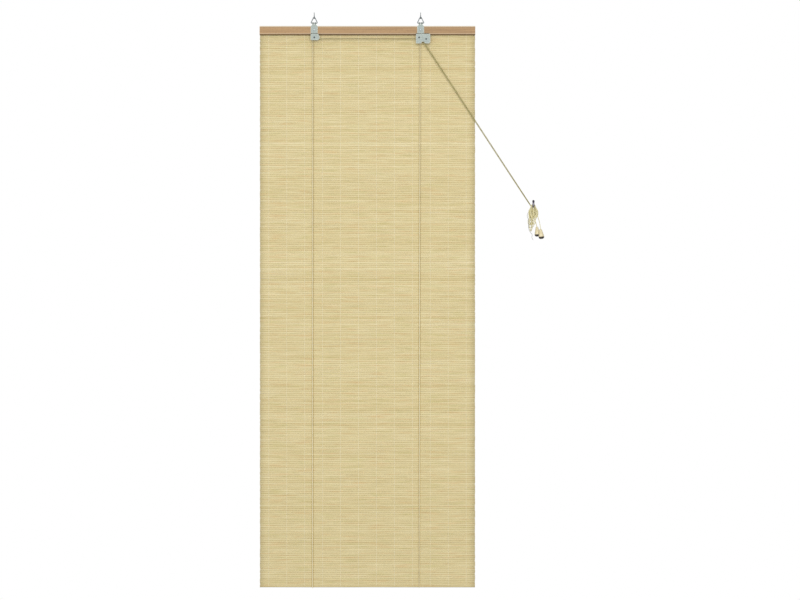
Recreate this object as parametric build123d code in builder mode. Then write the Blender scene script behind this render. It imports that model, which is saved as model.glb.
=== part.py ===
from build123d import *

import os
from math import asin, atan2, cos, degrees, hypot, radians, sin, sqrt, tan

# Bamboo roll up blind, hung from two ceiling screw hooks, with its cord hooked up on the wall.
# Millimetres. X runs along the head rail, the front faces -Y and Z is up. The origin lies in the
# ceiling plane, midway between the two screw hooks.

os.makedirs("parts", exist_ok=True)

# Overall sizes.
blind_width = 600.0
hem_z = -1592.0
hook_spacing = 296.0

# Head rail.
rail_top_z = -29.0
rail_height = 24.6
rail_depth = 10.0
rail_edge_round = 1.5

# Mat, bottom slat and the staples that hold them.
mat_thickness = 1.8
mat_top_drop = 2.0
slat_length = 596.0
slat_height = 12.0
slat_depth = 5.0
slat_lift = 2.0
staple_width = 10.0
staple_wire_width = 1.0
staple_wire_depth = 0.6
staple_leg = 6.4
rail_staple_count = 8
rail_staple_span = 560.0
rail_staple_drop = 12.0
hem_staple_count = 5
hem_staple_span = 540.0

# Cord.
cord_radius = 0.9
cord_gap = 0.3
hem_corner_radius = 1.8
hem_run_gap = 0.4
hem_loop_rise = 8.0
lane_step = 2.0

# Hanging link, bent from round wire.
link_wire_radius = 1.25
link_half_width = 9.4
link_base_z = -21.5
link_peak_z = -2.14
link_bend_radius = 2.8
link_foot_radius = 1.6
link_apex_gap = 0.05

# Screw hook.
hook_wire_radius = 1.4
hook_bowl_clearance = 0.15
hook_bowl_turn = 190.0
hook_thread_radius = 1.1
hook_thread_height = 10.0
hook_point_length = 1.68
hook_point_bite = 0.7

# Sheet steel bracket.
sheet = 1.0
fit_gap = 0.05
tab_width = 11.4
tab_flare_height = 3.0
tab_slot_width = 2.4
bracket_width = 19.0
bracket_corner = 1.4
housing_top_z = -49.0
housing_lip_height = 3.0
housing_gap = 7.4
left_bracket_bottom_z = -69.0
left_ear_reach = 15.0
left_ear_shoulder = (5.5, 10.5)
left_ear_foot = (4.0, 4.5)
right_bracket_bottom_z = -78.0
right_near_reach = 13.0
right_ear_reach = 26.5
right_ear_shoulder = (4.0, 4.5)
right_ear_foot = (3.5, 3.0)
right_notch_left = 2.2
right_notch_right = 10.8
right_notch_top_z = -73.6

# Pulleys, rivets and screws.
pulley_radius = 5.2
pulley_width = 3.6
pulley_floor_radius = 3.0
pulley_groove_half_width = 1.35
pulley_floor_half_width = 1.2
rivet_radius = 1.2
rivet_head_radius = 2.3
rivet_head_height = 0.9
rivet_head_round = 0.6
pulley_axle_z = -61.9
left_axle_offset = 0.6
right_axle_offset = 2.6
spacer_offset = -4.4
spacer_z = -62.2
screw_drop = 10.3
screw_radius = 1.4
screw_length = 9.7
screw_head_radius = 3.0
screw_head_height = 1.5

# Cord planes inside the brackets, as places along Y.
across_plane_y = -0.8
right_cord_plane_y = -4.0
across_z = -65.2
guide_radius = 2.0
guide_offset = 11.5
jaw_depth = 3.1

# Cord lock.
exit_offset = 11.0
exit_z = -77.0
lock_axle_offset = 15.4
lock_axle_z = -66.1
cam_hub_radius = 4.2
cam_nose_radius = 1.6
cam_bite_gap = 0.3
cam_side_gap = 0.4

# Cord anchors, at the back of the rail.
anchor_drop = 12.0
anchor_ring_radius = 2.2
anchor_wire_radius = 0.7
anchor_screw_radius = 0.9
anchor_screw_depth = 7.0
knot_radius = 2.2
left_hem_cord_x = -153.0
right_hem_cord_x = 143.6

# Wall hook and hank.
wall_y = 26.0
wall_hook_x = 461.3
wall_hook_z = -531.0
wall_hook_radius = 2.8
wall_hook_tip_radius = 3.3
wall_hook_tip_z = -513.5
wall_hook_bend = 5.0
wall_hook_front_y = -6.0
wall_hook_screw_length = 22.0
wall_hook_screw_radius = 2.2
hank_centre = (457.8, 6.0, -566.0)
hank_half_width = 13.0
hank_half_height = 39.0
hank_lean = 4.5
hank_depth = 13.0
hank_edge_round = 4.0

# Tassels, turned bells on the cord ends.
tassel_height = 27.0
tassel_mouth_radius = 8.0
tassel_shoulder_radius = 5.2
tassel_neck_radius = 3.4
tassel_wall = 1.6
tassel_bore_radius = 1.2
tassel_shoulder_drop = 9.0
tassel_crown = 3.0
large_tassel_top = (481.5, 0.0, -594.5)
large_tassel_lean = 6.0
small_tassel_top = (472.2, 14.0, -587.5)
small_tassel_lean = 4.0
tassel_knot_radius = 2.4
tassel_knot_drop = 6.0

# Free ends of the cords.
tail_one = [(470.5, 4.0, -546.0), (475.8, 3.0, -561.0), (479.6, 1.0, -578.0)]
tail_two = [(464.0, 9.0, -566.0), (469.0, 12.5, -576.0)]
tie_radius = 0.6
tie_tail = [(454.0, 3.0, -596.0), (456.2, 3.0, -606.5), (460.8, 3.0, -614.5), (462.4, 3.0, -624.0)]

# Derived places.
rail_front_y = link_wire_radius + fit_gap + sheet
rail_back_y = rail_front_y + rail_depth
rail_bottom_z = rail_top_z - rail_height
mat_back_y = rail_back_y + mat_thickness
slat_back_y = mat_back_y + slat_depth
slat_bottom_z = hem_z + slat_lift
front_hem_y = rail_back_y - cord_gap - cord_radius
back_hem_y = slat_back_y + cord_gap + cord_radius
hem_run_z = hem_z - hem_run_gap - cord_radius
plate_front_y = rail_front_y - sheet
cover_back_y = plate_front_y - housing_gap
cover_front_y = cover_back_y - sheet
curl_radius = link_wire_radius + fit_gap + sheet
left_x = -hook_spacing / 2
right_x = hook_spacing / 2
left_axle_x = left_x + left_axle_offset
right_axle_x = right_x + right_axle_offset
lock_x = right_x + lock_axle_offset
wrap_radius = pulley_floor_radius + cord_gap + cord_radius
left_lift_x = left_axle_x - wrap_radius
right_lift_x = right_axle_x - wrap_radius
link_peak_angle = atan2(link_half_width, link_peak_z - link_base_z)
hook_bowl_radius = link_wire_radius + hook_bowl_clearance + hook_wire_radius
link_apex_z = link_peak_z - link_bend_radius * (1 / sin(link_peak_angle) - 1)
hook_bowl_z = link_apex_z - link_wire_radius - link_apex_gap - hook_wire_radius + hook_bowl_radius
anchor_z = rail_top_z - anchor_drop


def front_plane(y):
    """A drawing plane that faces the front, at the place y: its axes are X and Z."""
    return Plane.XZ.offset(-y)


def rod(start, end, radius):
    """A round rod between two points."""
    axis = Vector(*end) - Vector(*start)
    with BuildPart() as piece:
        with BuildSketch(Plane(origin=start, z_dir=axis)):
            Circle(radius)
        extrude(amount=axis.length)
    return piece.part


def tube_along(route, radius, corner_radii):
    """A round tube along straight runs joined by tangent arcs."""
    with BuildPart() as piece:
        with BuildLine() as path:
            FilletPolyline(*route, radius=corner_radii)
        first_run = Vector(*route[1]) - Vector(*route[0])
        with BuildSketch(Plane(origin=route[0], z_dir=first_run)):
            Circle(radius)
        sweep(path=path.line)
    return piece.part


def route_radii(name, route, share=0.45):
    """The arc radius at each corner, as large as its two runs allow, printed for the record."""
    radii = []
    for before, corner, after in zip(route, route[1:], route[2:]):
        run_in = Vector(*corner) - Vector(*before)
        run_out = Vector(*after) - Vector(*corner)
        turn = radians(run_in.get_angle(run_out))
        shorter = min(run_in.length, run_out.length)
        radii.append(share * shorter / tan(turn / 2))
    print(name, "arc radii:", ", ".join(f"{radius:.1f}" for radius in radii))
    return radii


def staple_at(x, crown_y, z, direction):
    """One wire staple: its crown lies along X and its legs point along Y by the direction's sign."""
    crown_centre = crown_y - direction * staple_wire_depth / 2
    leg_centre = crown_y + direction * staple_leg / 2
    with BuildPart() as staple:
        with Locations((x, crown_centre, z)):
            Box(staple_width, staple_wire_depth, staple_wire_width)
        leg_x = (staple_width - staple_wire_width) / 2
        with Locations((x - leg_x, leg_centre, z), (x + leg_x, leg_centre, z)):
            Box(staple_wire_width, staple_leg, staple_wire_width)
    return staple.part


def rivet_through(x, z, front_y, back_y, head_on_front=True):
    """A rivet along Y, with a low dome on each face that it holds."""
    with BuildPart() as rivet:
        with BuildSketch(front_plane(back_y)):
            with Locations((x, z)):
                Circle(rivet_radius)
        extrude(amount=back_y - front_y)
        head_places = [(back_y, -1)]
        if head_on_front:
            head_places.append((front_y, 1))
        for face_y, outward in head_places:
            with BuildSketch(front_plane(face_y)):
                with Locations((x, z)):
                    Circle(rivet_head_radius)
            extrude(amount=outward * rivet_head_height)
        fillet(rivet.faces().sort_by(Axis.Y)[-1].edges(), rivet_head_round)
        if head_on_front:
            fillet(rivet.faces().sort_by(Axis.Y)[0].edges(), rivet_head_round)
    return rivet.part


def pulley_at(x, y, z):
    """A grooved wheel that turns about Y on its rivet."""
    half = pulley_width / 2
    groove = pulley_groove_half_width
    with BuildPart() as wheel:
        with BuildSketch(Plane.XY) as profile:
            with BuildLine():
                Polyline(
                    (rivet_radius + fit_gap, -half),
                    (pulley_radius, -half),
                    (pulley_radius, -groove),
                    (pulley_floor_radius, -pulley_floor_half_width),
                    (pulley_floor_radius, pulley_floor_half_width),
                    (pulley_radius, groove),
                    (pulley_radius, half),
                    (rivet_radius + fit_gap, half),
                    close=True,
                )
            make_face()
        revolve(axis=Axis.Y)
    return Pos(x, y, z) * wheel.part


# Staples: one row through the mat into the rail, one through the hem slat.
staple_z = rail_top_z - rail_staple_drop
staple_pitch = rail_staple_span / (rail_staple_count - 1)
rail_staples = Compound(
    children=[
        staple_at(-rail_staple_span / 2 + index * staple_pitch, mat_back_y, staple_z, -1)
        for index in range(rail_staple_count)
    ]
)
hem_staple_z = slat_bottom_z + slat_height / 2
hem_pitch = hem_staple_span / (hem_staple_count - 1)
hem_staples = Compound(
    children=[
        staple_at(-hem_staple_span / 2 + index * hem_pitch, slat_back_y, hem_staple_z, -1)
        for index in range(hem_staple_count)
    ]
)

# Head rail: a lacquered batten, drilled for the bracket screws, anchors and staples.
screw_z = rail_top_z - screw_drop
with BuildPart() as head_rail:
    with Locations((0, (rail_front_y + rail_back_y) / 2, (rail_top_z + rail_bottom_z) / 2)):
        Box(blind_width, rail_depth, rail_height)
    fillet(head_rail.edges().filter_by(Axis.X).group_by(Axis.Y)[0], rail_edge_round)
    with BuildSketch(front_plane(rail_front_y)):
        with Locations((left_x, screw_z), (right_x, screw_z)):
            Circle(screw_radius)
    extrude(amount=sheet - screw_length, mode=Mode.SUBTRACT)
    with BuildSketch(front_plane(rail_back_y)):
        with Locations((left_hem_cord_x, anchor_z), (right_hem_cord_x, anchor_z)):
            Circle(anchor_screw_radius)
    extrude(amount=anchor_screw_depth, mode=Mode.SUBTRACT)
    add(rail_staples, mode=Mode.SUBTRACT)
head_rail.part.label = "head_rail"
export_step(head_rail.part, "parts/head_rail.step")

# Mat: the woven slats as one hanging sheet.
mat_top_z = rail_top_z - mat_top_drop
with BuildPart() as bamboo_mat:
    with Locations((0, (rail_back_y + mat_back_y) / 2, (mat_top_z + hem_z) / 2)):
        Box(blind_width, mat_thickness, mat_top_z - hem_z)
    with BuildSketch(front_plane(mat_back_y)):
        with Locations((left_hem_cord_x, anchor_z), (right_hem_cord_x, anchor_z)):
            Circle(anchor_screw_radius)
    extrude(amount=mat_thickness, mode=Mode.SUBTRACT)
    add(rail_staples, mode=Mode.SUBTRACT)
    add(hem_staples, mode=Mode.SUBTRACT)
bamboo_mat.part.label = "bamboo_mat"
export_step(bamboo_mat.part, "parts/bamboo_mat.step")

# Bottom slat, behind the hem: the core of the roll and the blind's weight.
with BuildPart() as bottom_slat:
    with Locations((0, (mat_back_y + slat_back_y) / 2, slat_bottom_z + slat_height / 2)):
        Box(slat_length, slat_depth, slat_height)
    fillet(bottom_slat.edges().filter_by(Axis.X).group_by(Axis.Y)[-1], rail_edge_round)
    add(hem_staples, mode=Mode.SUBTRACT)
bottom_slat.part.label = "bottom_slat"
export_step(bottom_slat.part, "parts/bottom_slat.step")

rail_staples.label = "mat_staples"
export_step(rail_staples, "parts/mat_staples.step")
hem_staples.label = "hem_staples"
export_step(hem_staples, "parts/hem_staples.step")


def bracket_plate(centre_x, outline_rectangles, bottom_cut):
    """The outline of a leaf of the bracket, as rectangles given by their low and high corners."""
    for low_x, high_x, low_z, high_z in outline_rectangles:
        with Locations((centre_x + (low_x + high_x) / 2, (low_z + high_z) / 2)):
            Rectangle(high_x - low_x, high_z - low_z)
    if bottom_cut:
        low_x, high_x, low_z, high_z = bottom_cut
        with Locations((centre_x + (low_x + high_x) / 2, (low_z + high_z) / 2)):
            Rectangle(high_x - low_x, high_z - low_z, mode=Mode.SUBTRACT)


def bracket_at(centre_x, bottom_z, near_reach, ear, closed_side, bottom_cut, rivet_places, lug):
    """A bracket pressed from one sheet: plate, curled tab, and a cover folded over the pulley."""
    lug_place, lug_radius, lug_depth = lug
    ear_reach, ear_shoulder, ear_foot = ear
    half = bracket_width / 2
    plate = [(-half, half, bottom_z, rail_top_z), (-near_reach, ear_reach, bottom_z, housing_top_z)]
    cover = [(-near_reach, ear_reach, bottom_z, housing_top_z - housing_lip_height)]
    wall_x = -near_reach if closed_side < 0 else ear_reach - sheet
    with BuildPart() as bracket:
        # The plate lies on the rail's front and reaches below it.
        with BuildSketch(front_plane(rail_front_y)) as plate_sketch:
            bracket_plate(centre_x, plate, bottom_cut)
            fillet(plate_sketch.vertices().group_by(Axis.Y)[0], bracket_corner)
        extrude(amount=sheet)
        # The cover stands in front of it.
        with BuildSketch(front_plane(cover_back_y)) as cover_sketch:
            bracket_plate(centre_x, cover, bottom_cut)
            fillet(cover_sketch.vertices().group_by(Axis.Y)[0], bracket_corner)
        extrude(amount=sheet)
        # The side wall joins the two, and a slanted lip closes the top.
        wall_bottom = bottom_z + bracket_corner
        wall_top = housing_top_z - housing_lip_height
        with Locations(
            (
                centre_x + wall_x + sheet / 2,
                (plate_front_y + cover_back_y) / 2,
                (wall_bottom + wall_top) / 2,
            )
        ):
            Box(sheet, housing_gap, wall_top - wall_bottom)
        with BuildSketch(Plane.YZ.offset(centre_x - near_reach)):
            with BuildLine():
                Polyline(
                    (plate_front_y, housing_top_z),
                    (cover_front_y, wall_top),
                    (cover_back_y, wall_top),
                    (plate_front_y, housing_top_z - sheet),
                    close=True,
                )
            make_face()
        extrude(amount=near_reach + ear_reach)
        # The tab narrows above the plate and curls round the link's wire, in two fingers.
        with BuildSketch(front_plane(rail_front_y)):
            with BuildLine():
                Polyline(
                    (centre_x - half, rail_top_z),
                    (centre_x - tab_width / 2, rail_top_z + tab_flare_height),
                    (centre_x - tab_width / 2, link_base_z),
                    (centre_x + tab_width / 2, link_base_z),
                    (centre_x + tab_width / 2, rail_top_z + tab_flare_height),
                    (centre_x + half, rail_top_z),
                    close=True,
                )
            make_face()
        extrude(amount=sheet)
        with BuildSketch(Plane.YZ.offset(centre_x - tab_width / 2)):
            with Locations((0, link_base_z)):
                Circle(curl_radius)
                Circle(curl_radius - sheet, mode=Mode.SUBTRACT)
        extrude(amount=tab_width)
        with Locations((centre_x, 0, link_base_z)):
            Box(tab_slot_width, 2 * curl_radius + sheet, 2 * curl_radius + sheet, mode=Mode.SUBTRACT)
        # The lug that a cord bends over stands on the plate.
        with BuildSketch(front_plane(plate_front_y)):
            with Locations(lug_place):
                Circle(lug_radius)
        extrude(amount=lug_depth)
        # The ear's two corners are cut off at a slant, through both leaves.
        ear_x = centre_x + ear_reach
        with BuildSketch(front_plane(rail_front_y)):
            for corner_z, (along, rise) in ((housing_top_z, ear_shoulder), (bottom_z, ear_foot)):
                inward = -rise if corner_z == housing_top_z else rise
                with BuildLine():
                    Polyline(
                        (ear_x - along, corner_z),
                        (ear_x, corner_z),
                        (ear_x, corner_z + inward),
                        close=True,
                    )
                make_face()
        extrude(amount=rail_front_y - cover_front_y, mode=Mode.SUBTRACT)
        # Holes for the rivets and the screw.
        with BuildSketch(front_plane(rail_front_y)):
            with Locations(*rivet_places):
                Circle(rivet_radius)
        extrude(amount=rail_front_y - cover_front_y, mode=Mode.SUBTRACT)
        with BuildSketch(front_plane(rail_front_y)):
            with Locations((centre_x, screw_z)):
                Circle(screw_radius)
        extrude(amount=sheet, mode=Mode.SUBTRACT)
    return bracket


# Left bracket, with the guide that sends its cord across.
guide_x = left_x + guide_offset
guide_z = across_z + cord_radius + cord_gap + guide_radius
left_bracket = bracket_at(
    left_x,
    left_bracket_bottom_z,
    bracket_width / 2,
    (left_ear_reach, left_ear_shoulder, left_ear_foot),
    -1,
    None,
    [(left_axle_x, pulley_axle_z)],
    ((guide_x, guide_z), guide_radius, housing_gap),
)
left_bracket.part.label = "left_bracket"
export_step(left_bracket.part, "parts/left_bracket.step")

# The pull: both cords leave the lock side by side and pass under the wall hook's bar.
lane_two_start = (right_x + exit_offset, exit_z)
bar_wrap_radius = wall_hook_radius + cord_gap + cord_radius
to_hook = (wall_hook_x - lane_two_start[0], wall_hook_z - lane_two_start[1])
hook_distance = hypot(*to_hook)
pull_turn = -atan2(to_hook[1], to_hook[0]) + asin(bar_wrap_radius / hook_distance)
pull_dir = (cos(pull_turn), -sin(pull_turn))
pull_side = (sin(pull_turn), cos(pull_turn))
pull_length = sqrt(hook_distance**2 - bar_wrap_radius**2)


def along_pull(start, length):
    """The place reached by following the pull from a start."""
    return (start[0] + length * pull_dir[0], start[1] + length * pull_dir[1])


lane_one_start = (
    lane_two_start[0] - lane_step * pull_side[0],
    lane_two_start[1] - lane_step * pull_side[1],
)
lane_one_end = along_pull(lane_one_start, pull_length)
lane_two_end = along_pull(lane_two_start, pull_length)
bend_corner_x = lane_one_start[0] + (across_z - lane_one_start[1]) * pull_dir[0] / pull_dir[1]

# Right bracket, with the fixed jaw that the across cord bends over before it leaves.
jaw_radius = wrap_radius - cord_gap - cord_radius
jaw_x = bend_corner_x - wrap_radius * tan(pull_turn / 2)
jaw_z = across_z - wrap_radius
right_bracket = bracket_at(
    right_x,
    right_bracket_bottom_z,
    right_near_reach,
    (right_ear_reach, right_ear_shoulder, right_ear_foot),
    1,
    (right_notch_left, right_notch_right, right_bracket_bottom_z, right_notch_top_z),
    [
        (right_axle_x, pulley_axle_z),
        (right_x + spacer_offset, spacer_z),
        (lock_x, lock_axle_z),
    ],
    ((jaw_x, jaw_z), jaw_radius, jaw_depth),
)
right_bracket.part.label = "right_bracket"
export_step(right_bracket.part, "parts/right_bracket.step")

# Screws that hold the brackets to the rail.
bracket_screws = []
for x in (left_x, right_x):
    with BuildPart() as screw:
        with BuildSketch(front_plane(plate_front_y)):
            with Locations((x, screw_z)):
                Circle(screw_radius)
        extrude(amount=-screw_length)
        with BuildSketch(front_plane(plate_front_y)):
            with Locations((x, screw_z)):
                Circle(screw_head_radius)
        extrude(amount=screw_head_height)
        fillet(screw.faces().sort_by(Axis.Y)[0].edges(), screw_head_height / 2)
        with Locations((x, plate_front_y - screw_head_height, screw_z)):
            Box(screw_head_radius, screw_head_height, screw_radius / 2, mode=Mode.SUBTRACT)
            Box(screw_radius / 2, screw_head_height, screw_head_radius, mode=Mode.SUBTRACT)
    bracket_screws.append(screw.part)
screw_group = Compound(children=bracket_screws, label="bracket_screws")
export_step(screw_group, "parts/bracket_screws.step")

# Rivets.
rivets = {
    "left_pulley_rivet": rivet_through(left_axle_x, pulley_axle_z, cover_front_y, rail_front_y),
    "right_pulley_pin": rivet_through(
        right_axle_x, pulley_axle_z, cover_front_y, rail_front_y, head_on_front=False
    ),
    "spacer_rivet": rivet_through(right_x + spacer_offset, spacer_z, cover_front_y, rail_front_y),
    "lock_rivet": rivet_through(lock_x, lock_axle_z, cover_front_y, rail_front_y),
}
for name, rivet in rivets.items():
    rivet.label = name
    export_step(rivet, f"parts/{name}.step")

# Pulleys.
left_pulley = pulley_at(left_axle_x, across_plane_y, pulley_axle_z)
left_pulley.label = "left_pulley"
export_step(left_pulley, "parts/left_pulley.step")
right_pulley = pulley_at(right_axle_x, right_cord_plane_y, pulley_axle_z)
right_pulley.label = "right_pulley"
export_step(right_pulley, "parts/right_pulley.step")

# Lock cam: a hub and a nose that bites the cords towards the jaw.
to_axle = (lock_x - lane_two_start[0], lock_axle_z - lane_two_start[1])
lane_distance = to_axle[0] * pull_side[0] + to_axle[1] * pull_side[1]
nose_reach = lane_distance - cord_radius - cam_bite_gap - cam_nose_radius
nose_x = lock_x - nose_reach * pull_side[0]
nose_z = lock_axle_z - nose_reach * pull_side[1]
cam_front_y = cover_back_y + cam_side_gap
cam_back_y = plate_front_y - cam_side_gap
with BuildPart() as lock_cam:
    with BuildSketch(front_plane(cam_back_y)):
        with BuildLine():
            hub_side = (pull_dir[0] * cam_hub_radius, pull_dir[1] * cam_hub_radius)
            nose_side = (pull_dir[0] * cam_nose_radius, pull_dir[1] * cam_nose_radius)
            Polyline(
                (lock_x + hub_side[0], lock_axle_z + hub_side[1]),
                (nose_x + nose_side[0], nose_z + nose_side[1]),
                (nose_x - nose_side[0], nose_z - nose_side[1]),
                (lock_x - hub_side[0], lock_axle_z - hub_side[1]),
                close=True,
            )
        make_face()
        with Locations((lock_x, lock_axle_z)):
            Circle(cam_hub_radius)
        with Locations((nose_x, nose_z)):
            Circle(cam_nose_radius)
        with Locations((lock_x, lock_axle_z)):
            Circle(rivet_radius + fit_gap, mode=Mode.SUBTRACT)
    extrude(amount=cam_back_y - cam_front_y)
lock_cam.part.label = "lock_cam"
export_step(lock_cam.part, "parts/lock_cam.step")


# Hanging links: a closed loop of wire, straight through the curled tab and bent at the apex.
def link_at(x):
    """A closed wire loop in the XZ plane, with its base in the bracket's curl."""
    bends = [link_foot_radius, link_bend_radius, link_foot_radius]
    with BuildPart() as link:
        with BuildLine(Plane.XZ) as loop:
            FilletPolyline(
                (x + link_half_width, link_base_z),
                (x, link_peak_z),
                (x - link_half_width, link_base_z),
                radius=bends,
                close=True,
            )
        with BuildSketch(Plane(origin=loop.line @ 0, z_dir=loop.line % 0)):
            Circle(link_wire_radius)
        sweep(path=loop.line)
    return link.part


# Screw hooks: a threaded shank up into the ceiling and an open bowl that holds the link.
def screw_hook_at(x):
    """A wire hook, straight at the back and bent in the YZ plane under the link's apex."""
    with BuildPart() as hook:
        with BuildLine(Plane.YZ.offset(x)) as bend:
            shank = Line((hook_bowl_radius, 0), (hook_bowl_radius, hook_bowl_z))
            JernArc(shank @ 1, (0, -1), hook_bowl_radius, -hook_bowl_turn)
        with BuildSketch(Plane(origin=(x, hook_bowl_radius, 0), z_dir=(0, 0, -1))):
            Circle(hook_wire_radius)
        sweep(path=bend.line)
        # The thread starts at the ceiling and is thinner than the wire below it.
        with BuildSketch(Plane.XY):
            with Locations((x, hook_bowl_radius)):
                Circle(hook_thread_radius)
        extrude(amount=hook_thread_height)
        point = hook.faces().group_by(Axis.Z)[-1].edges()
        chamfer(point, hook_point_length, hook_point_bite)
    return hook.part


for side, x in (("left", left_x), ("right", right_x)):
    link = link_at(x)
    link.label = f"{side}_link"
    export_step(link, f"parts/{side}_link.step")
    hook = screw_hook_at(x)
    hook.label = f"{side}_screw_hook"
    export_step(hook, f"parts/{side}_screw_hook.step")


# Cord anchors: a screw eye at the rail's back, and the cord's end knotted to it.
ring_y = back_hem_y
for side, x in (("left", left_hem_cord_x), ("right", right_hem_cord_x)):
    with BuildPart() as anchor:
        with BuildSketch(front_plane(rail_back_y - anchor_screw_depth)):
            with Locations((x, anchor_z)):
                Circle(anchor_screw_radius)
        extrude(amount=rail_back_y - anchor_screw_depth - ring_y + anchor_ring_radius)
        with Locations(Location((x, ring_y, anchor_z), (0, 90, 0))):
            Torus(anchor_ring_radius, anchor_wire_radius)
    anchor.part.label = f"{side}_cord_anchor"
    export_step(anchor.part, f"parts/{side}_cord_anchor.step")
    with BuildPart() as cord_end:
        with Locations((x, ring_y, anchor_z - anchor_ring_radius)):
            Sphere(knot_radius)
        with BuildSketch(Plane.XY.offset(pulley_axle_z)):
            with Locations((x, ring_y)):
                Circle(cord_radius)
        extrude(amount=anchor_z - anchor_ring_radius - anchor_wire_radius - pulley_axle_z)
        add(anchor.part, mode=Mode.SUBTRACT)
    cord_end.part.label = f"{side}_cord_end"
    export_step(cord_end.part, f"parts/{side}_cord_end.step")

# Lift cords: down the front from the pulley, under the hem and up the back.
corner_top_z = hem_z + hem_loop_rise
for side, top_x, top_y, hem_x in (
    ("left", left_lift_x, across_plane_y, left_hem_cord_x),
    ("right", right_lift_x, right_cord_plane_y, right_hem_cord_x),
):
    with BuildPart() as lift_cord:
        with BuildSketch(Plane.XY.offset(corner_top_z)):
            with Locations((hem_x, front_hem_y)):
                Circle(cord_radius)
        with BuildSketch(Plane.XY.offset(pulley_axle_z)):
            with Locations((top_x, top_y)):
                Circle(cord_radius)
        loft()
        with BuildLine(Plane.YZ.offset(hem_x)) as under_hem:
            FilletPolyline(
                (front_hem_y, corner_top_z),
                (front_hem_y, hem_run_z),
                (back_hem_y, hem_run_z),
                (back_hem_y, corner_top_z),
                radius=hem_corner_radius,
            )
        with BuildSketch(Plane(origin=(hem_x, front_hem_y, corner_top_z), z_dir=(0, 0, -1))):
            Circle(cord_radius)
        sweep(path=under_hem.line)
        with BuildSketch(Plane.XY.offset(corner_top_z)):
            with Locations((hem_x, back_hem_y)):
                Circle(cord_radius)
        extrude(amount=pulley_axle_z - corner_top_z)
    lift_cord.part.label = f"{side}_lift_cord"
    export_step(lift_cord.part, f"parts/{side}_lift_cord.step")

# The left cord's run: over its pulley, under the guide, across, over the jaw and out of the lock.
guide_wrap_radius = guide_radius + cord_gap + cord_radius
guide_dx = guide_x - left_axle_x
guide_dz = guide_z - pulley_axle_z
guide_slant = -atan2(guide_dz, guide_dx) + asin(
    (wrap_radius + guide_wrap_radius) / hypot(guide_dx, guide_dz)
)
with BuildPart() as left_cord_run:
    with BuildLine(front_plane(across_plane_y)) as route:
        over_pulley = JernArc((left_lift_x, pulley_axle_z), (0, 1), wrap_radius, -90 - degrees(guide_slant))
        under_guide = Line(
            over_pulley @ 1,
            (
                guide_x - guide_wrap_radius * sin(guide_slant),
                guide_z - guide_wrap_radius * cos(guide_slant),
            ),
        )
        level = JernArc(
            under_guide @ 1,
            (cos(guide_slant), -sin(guide_slant)),
            guide_wrap_radius,
            degrees(guide_slant),
        )
        across = Line(level @ 1, (jaw_x, across_z))
        over_jaw = JernArc(across @ 1, (1, 0), wrap_radius, -degrees(pull_turn))
        Line(over_jaw @ 1, lane_one_start)
    with BuildSketch(Plane(origin=(left_lift_x, across_plane_y, pulley_axle_z), z_dir=(0, 0, 1))):
        Circle(cord_radius)
    sweep(path=route.line)
left_cord_run.part.label = "left_cord_run"
export_step(left_cord_run.part, "parts/left_cord_run.step")

# The right cord's run: over its pulley and down into the lock.
down_x = right_axle_x + wrap_radius
lane_turn = radians(90) - pull_turn
corner_z = lane_two_start[1] + (down_x - lane_two_start[0]) * pull_dir[1] / pull_dir[0]
bend_start_z = corner_z + wrap_radius * tan(lane_turn / 2)
with BuildPart() as right_cord_run:
    with BuildLine(front_plane(right_cord_plane_y)) as route:
        over_pulley = JernArc((right_lift_x, pulley_axle_z), (0, 1), wrap_radius, -180)
        down = Line(over_pulley @ 1, (down_x, bend_start_z))
        into_lane = JernArc(down @ 1, (0, -1), wrap_radius, degrees(lane_turn))
        Line(into_lane @ 1, lane_two_start)
    with BuildSketch(Plane(origin=(right_lift_x, right_cord_plane_y, pulley_axle_z), z_dir=(0, 0, 1))):
        Circle(cord_radius)
    sweep(path=route.line)
right_cord_run.part.label = "right_cord_run"
export_step(right_cord_run.part, "parts/right_cord_run.step")

# Wall hook: a square-bend screw hook, its thread in the wall and its tip turned up.
with BuildPart() as cord_hook:
    with BuildLine(Plane.YZ.offset(wall_hook_x)) as bend:
        FilletPolyline(
            (wall_y, wall_hook_z),
            (wall_hook_front_y, wall_hook_z),
            (wall_hook_front_y, wall_hook_tip_z - wall_hook_tip_radius),
            radius=wall_hook_bend,
        )
    with BuildSketch(Plane(origin=(wall_hook_x, wall_y, wall_hook_z), z_dir=(0, -1, 0))):
        Circle(wall_hook_radius)
    sweep(path=bend.line)
    with BuildSketch(front_plane(wall_y)):
        with Locations((wall_hook_x, wall_hook_z)):
            Circle(wall_hook_screw_radius)
    extrude(amount=-wall_hook_screw_length)
    with Locations((wall_hook_x, wall_hook_front_y, wall_hook_tip_z - wall_hook_tip_radius)):
        Sphere(wall_hook_tip_radius)
cord_hook.part.label = "cord_hook"
export_step(cord_hook.part, "parts/cord_hook.step")

# Hank: the spare cord looped over the hook's bar, as one solid of its outer shape.
with BuildPart() as cord_hank:
    with BuildSketch(front_plane(hank_centre[1] + hank_depth / 2)):
        with Locations((hank_centre[0], hank_centre[2])):
            Ellipse(hank_half_width, hank_half_height, rotation=-hank_lean)
    extrude(amount=hank_depth)
    fillet(cord_hank.edges(), hank_edge_round)
    with BuildSketch(front_plane(hank_centre[1] + hank_depth / 2)):
        with Locations((wall_hook_x, wall_hook_z)):
            Circle(wall_hook_radius + cord_gap)
    extrude(amount=hank_depth, mode=Mode.SUBTRACT)
cord_hank.part.label = "cord_hank"
export_step(cord_hank.part, "parts/cord_hank.step")

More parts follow.
